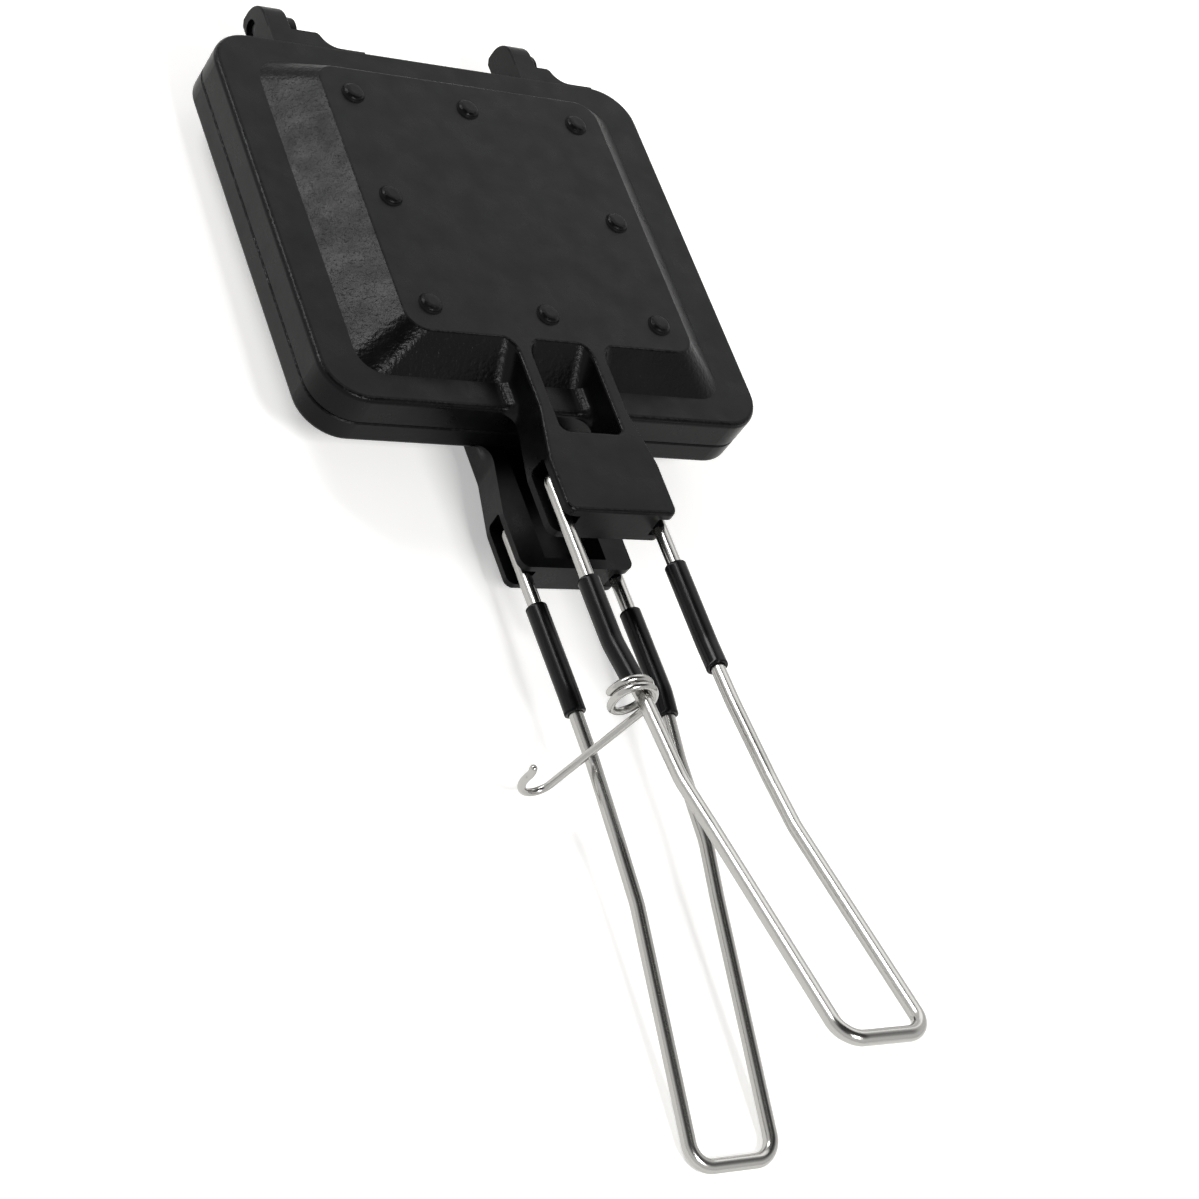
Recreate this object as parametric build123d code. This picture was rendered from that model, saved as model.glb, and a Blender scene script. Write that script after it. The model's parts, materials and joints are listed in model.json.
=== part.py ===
from build123d import *
from math import atan2, cos, degrees, hypot, radians, sqrt, tan
import os

os.makedirs("parts", exist_ok=True)

# ---------------------------------------------------------------- driving dimensions, mm
# +X to the right, +Y towards the hinges, +Z up. Sizes along Z count from the mid-plane of the
# closed plates; export() then lifts every piece, so the origin is on the lower plate's flat base.
PLATE_X = 145.0          # rim width
PLATE_Y = 131.8          # rim length
CORNER_R = 13.0          # plan radius of the rim's corners
WALL = 3.5               # casting wall
RIM_Z = 8.9              # rim's outer face above the mid-plane
RIM_EDGE_R = 1.6         # rounding of the rim's outer edge
PILLOW_Z = 18.45         # plateau above the mid-plane
PILLOW_Y = -0.4          # centre of the raised pillow
PLATEAU_INSET_X = 50.1   # the plateau is this much narrower and shorter than the rim
PLATEAU_INSET_Y = 36.2
PLATEAU_X = PLATE_X - PLATEAU_INSET_X
PLATEAU_Y = PLATE_Y - PLATEAU_INSET_Y
PLATEAU_R = 6.5
BASE_INSET_X = 24.4      # and the foot of the pillow's slopes by this much
BASE_INSET_Y = 19.0
BASE_X = PLATE_X - BASE_INSET_X
BASE_Y = PLATE_Y - BASE_INSET_Y
BASE_R = 8.5
CROWN_EDGE_R = 1.1       # rounding of the plateau's and the bracket's outer edges
FOOT_PITCH = 38.2        # raised feet, three by three without the middle one
FOOT_Y = -0.7
FOOT_R = 3.6
FOOT_H = 1.5
FOOT_TIP_R = 1.3

# parting line: the upper rim laps outside a ridge on the lower one
SEAM_Z = -1.0
SEAM_GAP = 0.3
SEAM_EDGE = 0.4          # bevel of both rims at the parting line
LIP_T = 1.7              # thickness of the upper plate's outer lip
LIP_CLEAR = 0.25
RIDGE_TOP = 0.9
REBATE_TOP = 1.25

# handle bracket cast on each plate; the lower one has a closed floor, the upper one a window
BRACKET_REACH = 40.1     # from the rim's near edge to the bracket's tip
BRACKET_ROOT = 5.8       # how far the bracket runs on under the plateau
BRACKET_TIP_Y = -PLATE_Y / 2 - BRACKET_REACH
BRACKET_ROOT_Y = -PLATEAU_Y / 2 + BRACKET_ROOT
BRACKET_BOTTOM = 7.0
ARM_HALF = 14.7          # outer half width of the two arms, at the plateau level
FLARE_HALF = 17.9        # half width of the end plate
ARM_STRAIGHT = 5.6       # the arms run this far out of the rim before they flare
FLARE_Y0 = -PLATE_Y / 2 - ARM_STRAIGHT
END_LEN = 17.0           # length of the end plate at its full width
FLARE_Y1 = BRACKET_TIP_Y + END_LEN
FLARE_R = 9.0
TIP_R = 2.5
DRAFT = 3.0              # casting draft, degrees
WINDOW_HALF = 10.1
END_PLATE = 26.8         # length of the closed end plate, from the tip to the window
WINDOW_TIP_Y = BRACKET_TIP_Y + END_PLATE
WINDOW_R = 2.4
TOP_PLATE = 2.6
FRONT_WALL = 2.6
ARM_ROOT_R = 4.0         # fillet where the arms meet the pillow's slope and the rim

# bent wire handles
WIRE_R = 2.0
PIVOT_BACK = 15.0        # the pivot bores lie this far behind the bracket's tip
PIVOT_Y = BRACKET_TIP_Y + PIVOT_BACK
PIVOT_Z = 12.0
PIN_CLEAR = 0.08         # radial clearance of the wire's ends in the bracket
LEG_X = 15.3
PIVOT_BEND_R = 2.4       # centre line of the bend into the pivot hole
CHANNEL_SIDE = 0.4       # wire to the channel's web
CHANNEL_Z0 = 9.2
CHANNEL_Z1 = 15.8
CHANNEL_BACK = 3.8       # room behind the pivot
CHANNEL_END_Y = PIVOT_Y + CHANNEL_BACK
CHANNEL_END_R = 1.2
SPLAY_TILT = 0.72        # both handles sit this many degrees up in their channels
HANDLE_LEN = 178.8       # pivot to the centre line of the handle's cross bar
LOOP_Y = PIVOT_Y - HANDLE_LEN
LOOP_HALF = 12.85
LOOP_RISE = 34.1
LEG_RUNS = (53.0, 20.0, 24.0, 16.0)             # length along the iron of each run of a leg
BEND1_Y = PIVOT_Y - LEG_RUNS[0]
BEND2_Y = BEND1_Y - LEG_RUNS[1]
BEND3_Y = BEND2_Y - LEG_RUNS[2]
BEND4_Y = BEND3_Y - LEG_RUNS[3]
LEG_RISE = (11.9, 13.95, 15.85, 18.75)
LEG_TAPER = (0.0, 1.25, 1.25, 2.35)             # the legs draw together by this at each bend
LEG_HALF = tuple(LEG_X - taper for taper in LEG_TAPER)
LEG_BEND_R = (28.0, 28.0, 30.0, 24.0)
LOOP_BEND_R = 6.0

# soft sleeves on the legs
SLEEVE_R = 3.0
SLEEVE_CLEAR = 0.05
SLEEVE_LEN = 33.5
SLEEVE_AHEAD = (20.0, 25.4, 27.4, 26.4)         # start before the first bend: UL, UR, LL, LR
SLEEVE_UL_Y = BEND1_Y + SLEEVE_AHEAD[0]
SLEEVE_UR_Y = BEND1_Y + SLEEVE_AHEAD[1]
SLEEVE_LL_Y = BEND1_Y + SLEEVE_AHEAD[2]
SLEEVE_LR_Y = BEND1_Y + SLEEVE_AHEAD[3]

# hinges at the far edge
RIM_BACK_Y = PLATE_Y / 2
HINGE_BACK = 11.9        # hinge axis behind the rim
HINGE_ROOT = 3.1         # how far the tongues start inside the rim
HINGE_Y = RIM_BACK_Y + HINGE_BACK
HINGE_ROOT_Y = RIM_BACK_Y - HINGE_ROOT
PIN_R = 2.0
HINGE_FIT = 0.06         # radial running clearance on the pins
KNUCKLE_X = ((-50.7, -43.2), (34.5, 42.0))      # on the upper plate
TAIL_X = ((-42.9, -37.9), (42.3, 46.6))         # on the lower plate
TONGUE_X = ((-50.7, -34.4), (34.5, 46.6))
TONGUE_REACH = 5.2
TONGUE_Y = RIM_BACK_Y + TONGUE_REACH
TONGUE_LEAN = 2.0        # the tongue's right side widens by this much towards the rim
TONGUE_ROOT_R = 6.0
TONGUE_CORNER_R = 1.5
HINGE_TOP = 8.5
KNUCKLE_R = 5.8
KNUCKLE_FAR = HINGE_Y + KNUCKLE_R
KNUCKLE_ARC = 8.0
KNUCKLE_LOW = -3.6
KNUCKLE_BEVEL = 1.6
KNUCKLE_EDGE_R = 0.6
TAIL_R = 4.9
TAIL_REACH = 5.2
TAIL_FAR = HINGE_Y + TAIL_REACH
TAIL_ARC = 7.4
HINGE_FLOOR = 0.6        # the tail's top below the parting line, under the knuckle

# latch hook hanging on the upper handle's left leg
LATCH_WIRE_R = 1.1
LATCH_DOWN = 16.2        # the eye hangs this far past the first bend
LATCH_Y = BEND1_Y - LATCH_DOWN
EYE_R = 5.8
EYE_TURNS = 1.6
EYE_PITCH = 2.45
EYE_GAP = 0.2
EYE_HANG = (-0.75, -0.66)
ARM_DIR = (-0.48, -0.877)
ARM_LEN = 32.0
ARM_BEND_R = 20.0        # where the arm levels out of the coil's pitch
HOOK_R = 5.2
HOOK_TIP = 4.0


# ---------------------------------------------------------------- helpers
def slab(size_x, size_y, radius, z0, z1, centre_y=0.0):
    face = Plane.XY.offset(z0) * Pos(0, centre_y) * RectangleRounded(size_x, size_y, radius)
    return extrude(face, amount=z1 - z0)


def frustum(z0, x0, y0, r0, z1, x1, y1, r1):
    low = Plane.XY.offset(z0) * Pos(0, PILLOW_Y) * RectangleRounded(x0, y0, r0)
    high = Plane.XY.offset(z1) * Pos(0, PILLOW_Y) * RectangleRounded(x1, y1, r1)
    return loft([low, high], ruled=True)


def box_between(x0, x1, y0, y1, z0, z1):
    centre = Pos((x0 + x1) / 2, (y0 + y1) / 2, (z0 + z1) / 2)
    return centre * Box(abs(x1 - x0), abs(y1 - y0), abs(z1 - z0))


def bent_path(points, radii):
    """Straight runs joined by tangent arcs: one radius for each inner point."""
    edges = []
    start = Vector(*points[0])
    for i in range(1, len(points) - 1):
        corner = Vector(*points[i])
        before = (corner - Vector(*points[i - 1])).normalized()
        after = (Vector(*points[i + 1]) - corner).normalized()
        turn = radians(before.get_angle(after))
        reach = radii[i - 1] * tan(turn / 2)
        a = corner - before * reach
        b = corner + after * reach
        bulge = (after - before).normalized()
        middle = corner + bulge * (radii[i - 1] * (1 / cos(turn / 2) - 1))
        edges.append(Line(start, a))
        edges.append(ThreePointArc(a, middle, b))
        start = b
    edges.append(Line(start, Vector(*points[-1])))
    return Wire(edges)


def tube_along(path, radius):
    start = path.position_at(0)
    direction = path.tangent_at(0)
    return sweep(Plane(origin=start, z_dir=direction) * Circle(radius), path=path)


# ---------------------------------------------------------------- plates
def foot():
    """One domed foot standing on the plateau, with a small flat tip."""
    low = PILLOW_Z - 0.4
    top = PILLOW_Z + FOOT_H
    shoulder = (0.8 * FOOT_R, PILLOW_Z + 0.68 * FOOT_H)
    profile = make_face(
        Wire(
            [
                Line((0, low), (FOOT_R, low)),
                Line((FOOT_R, low), (FOOT_R, PILLOW_Z)),
                ThreePointArc((FOOT_R, PILLOW_Z), shoulder, (FOOT_TIP_R, top)),
                Line((FOOT_TIP_R, top), (0, top)),
                Line((0, top), (0, low)),
            ]
        )
    )
    return revolve(Plane.XZ * profile, Axis.Z)


def bracket_outline():
    """Plan of the bracket: two straight sides that flare out to the end plate."""
    points = [
        (-ARM_HALF, BRACKET_ROOT_Y),
        (-ARM_HALF, FLARE_Y0),
        (-FLARE_HALF, FLARE_Y1),
        (-FLARE_HALF, BRACKET_TIP_Y),
        (FLARE_HALF, BRACKET_TIP_Y),
        (FLARE_HALF, FLARE_Y1),
        (ARM_HALF, FLARE_Y0),
        (ARM_HALF, BRACKET_ROOT_Y),
    ]
    face = Sketch() + make_face(Polyline(*points, close=True))
    flares = [v for v in face.vertices() if BRACKET_TIP_Y + 1 < v.Y < BRACKET_ROOT_Y - 1]
    face = fillet(flares, FLARE_R)
    tips = [v for v in face.vertices() if v.Y < BRACKET_TIP_Y + 1]
    return fillet(tips, TIP_R)


def bracket_block():
    """Drafted block that becomes the arms and the end plate."""
    face = Plane.XY.offset(PILLOW_Z) * bracket_outline()
    return extrude(face, amount=-(PILLOW_Z - BRACKET_BOTTOM), taper=-DRAFT)


def window_cut():
    """The opening between the arms, with draft on its walls."""
    low = BRACKET_BOTTOM - 3.0
    slope = tan(radians(DRAFT)) * (PILLOW_Z - low)
    y0 = BRACKET_ROOT_Y + 6.0
    centre = Pos(0, (WINDOW_TIP_Y + y0) / 2)
    long = y0 - WINDOW_TIP_Y
    top = RectangleRounded(2 * WINDOW_HALF, long, WINDOW_R)
    bottom = RectangleRounded(2 * (WINDOW_HALF - slope), long, WINDOW_R)
    sections = [Plane.XY.offset(PILLOW_Z + 0.01) * centre * top, Plane.XY.offset(low) * centre * bottom]
    return loft(sections, ruled=True)


def bracket(open_window):
    """Two arms, an end plate with a front wall, and a side channel for each wire leg."""
    web_x = LEG_X - WIRE_R - CHANNEL_SIDE
    body = bracket_block()
    pocket_end = -PLATE_Y / 2 + 5.0
    if open_window:
        body = body - window_cut()
        pocket_end = WINDOW_TIP_Y + 1.0
    body = body - box_between(
        -WINDOW_HALF, WINDOW_HALF, BRACKET_TIP_Y + FRONT_WALL, pocket_end,
        BRACKET_BOTTOM - 1.0, PILLOW_Z - TOP_PLATE,
    )
    for side in (-1, 1):
        channel = box_between(
            side * web_x, side * 24.0, BRACKET_TIP_Y - 4.0, CHANNEL_END_Y,
            CHANNEL_Z0, CHANNEL_Z1,
        )
        far_edges = channel.edges().filter_by(Axis.X).sort_by(Axis.Y)[-2:]
        body = body - fillet(far_edges, CHANNEL_END_R)
        bore = Plane(origin=(side * 8.0, PIVOT_Y, PIVOT_Z), z_dir=(side, 0, 0))
        body = body - extrude(bore * Circle(WIRE_R + PIN_CLEAR), amount=7.0)
    return body


def arm_roots(body, open_window):
    """Edges where the arms' walls meet the pillow's front slope and the rim's top."""
    inner_x = WINDOW_HALF - 1.2 if open_window else ARM_HALF - 1.0
    found = []
    for edge in body.edges():
        c = edge.center()
        on_slope = -BASE_Y / 2 < c.Y < -PLATEAU_Y / 2 and RIM_Z + 1 < c.Z < PILLOW_Z - 1
        on_rim = -PLATE_Y / 2 < c.Y < -BASE_Y / 2 - 1 and abs(c.Z - RIM_Z) < 0.1
        if inner_x < abs(c.X) < FLARE_HALF and (on_slope or on_rim):
            found.append(edge)
    return found


def outer_shell(rim_bottom, open_window):
    """Rim, pillow and bracket as one form, with its roots and its crown rounded."""
    rim = slab(PLATE_X, PLATE_Y, CORNER_R, rim_bottom, RIM_Z)
    rim = fillet(rim.edges().group_by(Axis.Z)[-1], RIM_EDGE_R)
    rim = chamfer(rim.edges().group_by(Axis.Z)[0], SEAM_EDGE)
    pillow = frustum(
        RIM_Z - 0.6, BASE_X + 1.6, BASE_Y + 1.1, BASE_R,
        PILLOW_Z, PLATEAU_X, PLATEAU_Y, PLATEAU_R,
    )
    body = rim + pillow + bracket(open_window)
    body = fillet(arm_roots(body, open_window), ARM_ROOT_R)
    return fillet(body.edges().group_by(Axis.Z)[-1], CROWN_EDGE_R)


def cavity(rim_bottom):
    inset_x = 0.33 * WALL
    inset_y = 0.45 * WALL
    pan = slab(
        PLATE_X - 2 * WALL, PLATE_Y - 2 * WALL, CORNER_R - WALL,
        rim_bottom - 1.0, RIM_Z - WALL,
    )
    crown = frustum(
        RIM_Z - WALL - 0.5, BASE_X - 2 * inset_x + 1.3, BASE_Y - 2 * inset_y + 0.9, BASE_R,
        PILLOW_Z - WALL, PLATEAU_X - 2 * inset_x, PLATEAU_Y - 2 * inset_y, PLATEAU_R - 1.0,
    )
    return pan + crown


def bare_plate(rim_bottom, open_window):
    body = outer_shell(rim_bottom, open_window) - cavity(rim_bottom)
    for ix in (-1, 0, 1):
        for iy in (-1, 0, 1):
            if ix or iy:
                body = body + Pos(ix * FOOT_PITCH, FOOT_Y + iy * FOOT_PITCH, 0) * foot()
    return body


def extrude_x(face, x0, x1):
    """A face drawn in the YZ plane, pulled along X between two stations."""
    return extrude(Plane(origin=(x0, 0, 0), x_dir=(0, 1, 0), z_dir=(1, 0, 0)) * face, amount=x1 - x0)


def knuckle_face():
    """Side shape of the upper plate's knuckle: flush top, round nose, short underside."""
    nose_z = HINGE_TOP - KNUCKLE_ARC
    nose_y = KNUCKLE_FAR - KNUCKLE_ARC
    diag = KNUCKLE_ARC * sqrt(0.5)
    root = HINGE_ROOT_Y
    seam = SEAM_Z + SEAM_GAP / 2
    toe_z = KNUCKLE_LOW + KNUCKLE_BEVEL
    toe_y = KNUCKLE_FAR - KNUCKLE_BEVEL
    shape = Wire(
        [
            Line((root, HINGE_TOP), (nose_y, HINGE_TOP)),
            ThreePointArc((nose_y, HINGE_TOP), (nose_y + diag, nose_z + diag), (KNUCKLE_FAR, nose_z)),
            Line((KNUCKLE_FAR, nose_z), (KNUCKLE_FAR, toe_z)),
            Line((KNUCKLE_FAR, toe_z), (toe_y, KNUCKLE_LOW)),
            Line((toe_y, KNUCKLE_LOW), (RIM_BACK_Y + 3.3, KNUCKLE_LOW)),
            Line((RIM_BACK_Y + 3.3, KNUCKLE_LOW), (RIM_BACK_Y + 0.8, seam)),
            Line((RIM_BACK_Y + 0.8, seam), (root, seam)),
            Line((root, seam), (root, HINGE_TOP)),
        ]
    )
    return make_face(shape)


def tongue(x0, x1, z0, z1):
    """Block from the rim to the knuckles, flowing into the rim's edge on its right side."""
    foot_x = x1 + TONGUE_LEAN
    far_x = foot_x + 2 * TONGUE_ROOT_R
    plan = Sketch() + make_face(
        Polyline(
            (x0, HINGE_ROOT_Y), (x0, TONGUE_Y), (x1, TONGUE_Y), (foot_x, RIM_BACK_Y),
            (far_x, RIM_BACK_Y), (far_x, HINGE_ROOT_Y), close=True,
        )
    )
    inner = plan.vertices().sort_by_distance((foot_x, RIM_BACK_Y, 0))[0]
    plan = fillet(inner, TONGUE_ROOT_R)
    outer = plan.vertices().sort_by_distance((x1, TONGUE_Y, 0))[0]
    plan = fillet(outer, TONGUE_CORNER_R)
    return extrude(Plane.XY.offset(z0) * plan, amount=z1 - z0)


def tail_face():
    """Side shape of the lower plate's knuckle: round over the pin, deep towards the rim."""
    nose_y = TAIL_FAR - TAIL_ARC
    nose_z = -HINGE_TOP + TAIL_ARC
    diag = TAIL_ARC * sqrt(0.5)
    seam = SEAM_Z - SEAM_GAP / 2
    floor = seam - HINGE_FLOOR
    root = HINGE_ROOT_Y
    heel = Wire(
        [
            Line((root, -HINGE_TOP), (nose_y, -HINGE_TOP)),
            ThreePointArc((nose_y, -HINGE_TOP), (nose_y + diag, nose_z - diag), (TAIL_FAR, nose_z)),
            Line((TAIL_FAR, nose_z), (HINGE_Y, nose_z)),
            Line((HINGE_Y, nose_z), (HINGE_Y - 4.2, floor)),
            Line((HINGE_Y - 4.2, floor), (RIM_BACK_Y + 0.6, floor)),
            Line((RIM_BACK_Y + 0.6, floor), (root, seam)),
            Line((root, seam), (root, -HINGE_TOP)),
        ]
    )
    return make_face(heel) + Pos(HINGE_Y, 0) * Circle(TAIL_R)


def soft_sides(block):
    """Round the rims of a knuckle's two side faces, away from its root."""
    reach = RIM_BACK_Y + 6.0
    sides = [e for e in block.edges() if e.bounding_box().size.X < 0.01 and e.bounding_box().max.Y > reach]
    return fillet(sides, KNUCKLE_EDGE_R)


def hinge_bore(x0, x1, radius):
    return extrude_x(Pos(HINGE_Y, 0) * Circle(radius), x0, x1)


def upper_hinges():
    seam = SEAM_Z + SEAM_GAP / 2
    blocks = []
    for (k0, k1), (t0, t1) in zip(KNUCKLE_X, TONGUE_X):
        blocks.append(soft_sides(extrude_x(knuckle_face(), k0, k1)))
        blocks.append(tongue(t0, t1, seam, HINGE_TOP))
    return blocks


def lower_hinges():
    seam = SEAM_Z - SEAM_GAP / 2
    blocks = []
    for (k0, k1), (t0, t1) in zip(TAIL_X, TONGUE_X):
        blocks.append(soft_sides(extrude_x(tail_face(), k0, k1)))
        blocks.append(tongue(k0, t1, -HINGE_TOP, seam))
    return blocks


def clear_inside(z0, z1):
    """What the hinge blocks must not fill: the pan's inside."""
    return slab(PLATE_X - 2 * WALL, PLATE_Y - 2 * WALL, CORNER_R - WALL, z0, z1)


def upper_plate():
    bottom = SEAM_Z + SEAM_GAP / 2
    body = bare_plate(bottom, True)
    for block in upper_hinges():
        body = body + block
    rebate = slab(PLATE_X - 2 * LIP_T, PLATE_Y - 2 * LIP_T, CORNER_R - LIP_T, bottom - 1.0, REBATE_TOP)
    body = body - rebate
    left, right = KNUCKLE_X
    body = body - hinge_bore(left[0] - 1.0, left[1] + 1.0, PIN_R + HINGE_FIT)
    body = body - hinge_bore(left[0] - 1.0, left[0] + 1.1, PIN_R + 0.75)
    body = body - hinge_bore(right[0] + 1.8, right[1] + 1.0, PIN_R + HINGE_FIT)
    return body


def lower_plate():
    top = -(SEAM_Z - SEAM_GAP / 2)
    body = mirror(bare_plate(top, False), about=Plane.XY)
    for block in lower_hinges():
        body = body + block
    inset = LIP_T + LIP_CLEAR
    ridge = slab(PLATE_X - 2 * inset, PLATE_Y - 2 * inset, CORNER_R - inset, -top - 1.5, RIDGE_TOP)
    ridge = ridge - clear_inside(-top - 3.0, RIDGE_TOP + 1.0)
    body = body + ridge
    for k0, k1 in TAIL_X:
        body = body - hinge_bore(k0 - 0.5, k1 - 0.8, PIN_R)
    return body


def hinge_pin(x0, x1):
    pin = hinge_bore(x0, x1, PIN_R)
    return chamfer(pin.edges().filter_by(GeomType.CIRCLE), 0.35)


# ---------------------------------------------------------------- handles
def leg_points(side):
    points = [(side * LEG_HALF[0], PIVOT_Y, PIVOT_Z)]
    for x, y, z in zip(LEG_HALF, (BEND1_Y, BEND2_Y, BEND3_Y, BEND4_Y), LEG_RISE):
        points.append((side * x, y, z))
    points.append((side * LOOP_HALF, LOOP_Y, LOOP_RISE))
    return points


def tilt(shape, up):
    """Turn a handle's piece about its pivot line, as it sits in its channel."""
    axis = Axis((0, PIVOT_Y, PIVOT_Z), (1, 0, 0))
    return shape.rotate(axis, -SPLAY_TILT * up)


def handle():
    inner = LEG_X - 5.6
    left = leg_points(-1)
    right = leg_points(1)
    points = [(-inner, PIVOT_Y, PIVOT_Z)] + left + right[::-1] + [(inner, PIVOT_Y, PIVOT_Z)]
    one_side = [PIVOT_BEND_R, *LEG_BEND_R, LOOP_BEND_R]
    radii = one_side + one_side[::-1]
    return tube_along(bent_path(points, radii), WIRE_R)


def sleeve(side, start_y):
    """Tube over one leg, across the first bend."""
    leg = leg_points(side)
    first = (leg[1][0], start_y, leg[1][2])
    run = start_y - SLEEVE_LEN - BEND1_Y
    share = run / (BEND2_Y - BEND1_Y)
    last = tuple(a + (b - a) * share for a, b in zip(leg[1], leg[2]))
    path = bent_path([first, leg[1], last], [LEG_BEND_R[0]])
    return tube_along(path, SLEEVE_R) - tube_along(path, WIRE_R + SLEEVE_CLEAR)


# ---------------------------------------------------------------- latch
def leg_frame():
    """Local frame on the upper left leg where the latch's eye hangs."""
    leg = leg_points(-1)
    share = (LATCH_Y - BEND1_Y) / (BEND2_Y - BEND1_Y)
    point = Vector(*[a + (b - a) * share for a, b in zip(leg[1], leg[2])])
    along = (Vector(*leg[2]) - Vector(*leg[1])).normalized()
    return Plane(origin=point, x_dir=(1, 0, 0.0625), z_dir=along)


def latch():
    """Coiled eye round the leg, an arm that levels out as it leaves the coil, and an open hook."""
    hang = (EYE_R - LATCH_WIRE_R - WIRE_R - EYE_GAP) / hypot(*EYE_HANG)
    centre = Pos(EYE_HANG[0] * hang, EYE_HANG[1] * hang, -EYE_TURNS * EYE_PITCH / 2)
    leaving = degrees(atan2(ARM_DIR[0], -ARM_DIR[1]))
    turned = Rot(0, 0, leaving + 360 * EYE_TURNS)
    coil = centre * turned * Helix(EYE_PITCH, EYE_PITCH * EYE_TURNS, EYE_R, lefthand=True)
    start = coil.position_at(1)
    knee = start + coil.tangent_at(1) * LATCH_WIRE_R
    along = Vector(*ARM_DIR, 0).normalized()
    side = Vector(along.Y, -along.X, 0)
    arm_end = knee + along * ARM_LEN
    arm = bent_path([start, knee, arm_end], [ARM_BEND_R])
    bottom = arm_end + (along + side) * HOOK_R
    far = arm_end + side * (2 * HOOK_R)
    flare = far + (side * 0.14 - along * 0.48) * HOOK_TIP
    tip = far + (side * 0.55 - along * 0.83).normalized() * HOOK_TIP
    hook = [ThreePointArc(arm_end, bottom, far), ThreePointArc(far, flare, tip)]
    return leg_frame() * tube_along(Wire([coil, *arm.edges(), *hook]), LATCH_WIRE_R)


# ---------------------------------------------------------------- nodes
def export(shape, node):
    export_step(Pos(0, 0, PILLOW_Z) * shape, "parts/" + node + ".step")


def main():
    export(lower_plate(), "lower_plate")
    export(upper_plate(), "upper_plate")
    export(hinge_pin(KNUCKLE_X[0][0] + 1.2, TAIL_X[0][1] - 0.9), "left_hinge_pin")
    export(hinge_pin(KNUCKLE_X[1][0] + 2.1, TAIL_X[1][1] - 0.9), "right_hinge_pin")
    upper = handle()
    export(tilt(upper, 1), "upper_handle")
    export(mirror(tilt(upper, -1), about=Plane.XY), "lower_handle")
    export(tilt(sleeve(-1, SLEEVE_UL_Y), 1), "upper_left_sleeve")
    export(tilt(sleeve(1, SLEEVE_UR_Y), 1), "upper_right_sleeve")
    export(mirror(tilt(sleeve(-1, SLEEVE_LL_Y), -1), about=Plane.XY), "lower_left_sleeve")
    export(mirror(tilt(sleeve(1, SLEEVE_LR_Y), -1), about=Plane.XY), "lower_right_sleeve")
    export(tilt(latch(), 1), "latch_hook")


main()
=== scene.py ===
"""Pie iron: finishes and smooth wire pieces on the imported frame, laid out as an add-on."""
import json
import math

import bmesh
import bpy
import numpy as np
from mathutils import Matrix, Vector


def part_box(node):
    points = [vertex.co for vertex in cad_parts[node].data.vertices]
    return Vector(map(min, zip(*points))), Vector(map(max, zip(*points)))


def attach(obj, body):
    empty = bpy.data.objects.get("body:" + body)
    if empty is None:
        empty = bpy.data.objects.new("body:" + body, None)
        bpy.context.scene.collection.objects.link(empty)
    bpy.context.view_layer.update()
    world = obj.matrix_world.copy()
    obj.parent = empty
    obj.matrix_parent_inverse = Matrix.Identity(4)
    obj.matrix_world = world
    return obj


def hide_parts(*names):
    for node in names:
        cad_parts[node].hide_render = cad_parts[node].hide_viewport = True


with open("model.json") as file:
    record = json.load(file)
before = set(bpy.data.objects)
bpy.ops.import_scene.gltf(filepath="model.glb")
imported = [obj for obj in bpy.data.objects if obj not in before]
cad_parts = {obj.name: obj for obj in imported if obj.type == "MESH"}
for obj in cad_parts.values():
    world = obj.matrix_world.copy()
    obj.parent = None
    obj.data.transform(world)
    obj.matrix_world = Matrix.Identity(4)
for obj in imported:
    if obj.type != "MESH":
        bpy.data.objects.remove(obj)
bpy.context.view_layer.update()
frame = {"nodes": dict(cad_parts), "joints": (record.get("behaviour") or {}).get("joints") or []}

bl_info = {
    "name": "Pie iron dressing",
    "version": (1, 0, 0),
    "blender": (4, 5, 0),
    "location": "View3D > Sidebar > Pie iron",
    "description": "Coated castings, bent wire handles, soft sleeves and latch of a folding pie iron",
    "category": "Object",
}

JOINTS = {joint["name"]: joint for joint in frame["joints"]}
UPPER_PIVOT = JOINTS["upper_handle_fold"]["pos_m"]
LOWER_PIVOT = JOINTS["lower_handle_fold"]["pos_m"]
MID_HEIGHT = (UPPER_PIVOT[2] + LOWER_PIVOT[2]) / 2
MM = 0.001

# how finely the new surfaces are laid out: distance between rings, sides of a ring, points of a curve
RING_STEP = 0.5 * MM
LATCH_RING_STEP = 0.4 * MM
WIRE_SIDES = 40
SLEEVE_SIDES = 48
LATCH_SIDES = 24
SLEEVE_RINGS = 60
LIP_POINTS = 5
EYE_POINTS = 120
HOOK_POINTS = 40
TIP_POINTS = 12
DOME_POINTS = 6


# ---------------------------------------------------------------- colours
def linear(code):
    """Linear red, green and blue of an sRGB hex colour such as #1C1C1D: a straight line for the darkest
    tones and a power of 2.4 above them, as the sRGB standard has it."""
    srgb = np.array([int(code[i:i + 2], 16) for i in (1, 3, 5)]) / 255
    return tuple(np.where(srgb <= 0.04045, srgb / 12.92, ((srgb + 0.055) / 1.055) ** 2.4))


# ---------------------------------------------------------------- sizes and colours to change
def length(label, text, default):
    """One length in metres."""
    return bpy.props.FloatProperty(
        name=label, description=text, default=default, unit="LENGTH", precision=5
    )


def lengths(label, text, default):
    """A row of lengths in metres."""
    return bpy.props.FloatVectorProperty(
        name=label, description=text, default=default, size=len(default), unit="LENGTH", precision=5
    )


def colour(label, text, code):
    """A colour, given as its sRGB hex value."""
    return bpy.props.FloatVectorProperty(
        name=label, description=text, default=linear(code), size=3, subtype="COLOR", min=0, max=1
    )


def direction(label, text, default):
    """A direction, of any length."""
    return bpy.props.FloatVectorProperty(
        name=label, description=text, default=default, size=len(default), subtype="XYZ"
    )


def angle(label, text, degrees):
    """An angle, given in degrees and kept in radians."""
    return bpy.props.FloatProperty(
        name=label, description=text, default=math.radians(degrees), subtype="ANGLE"
    )


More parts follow.
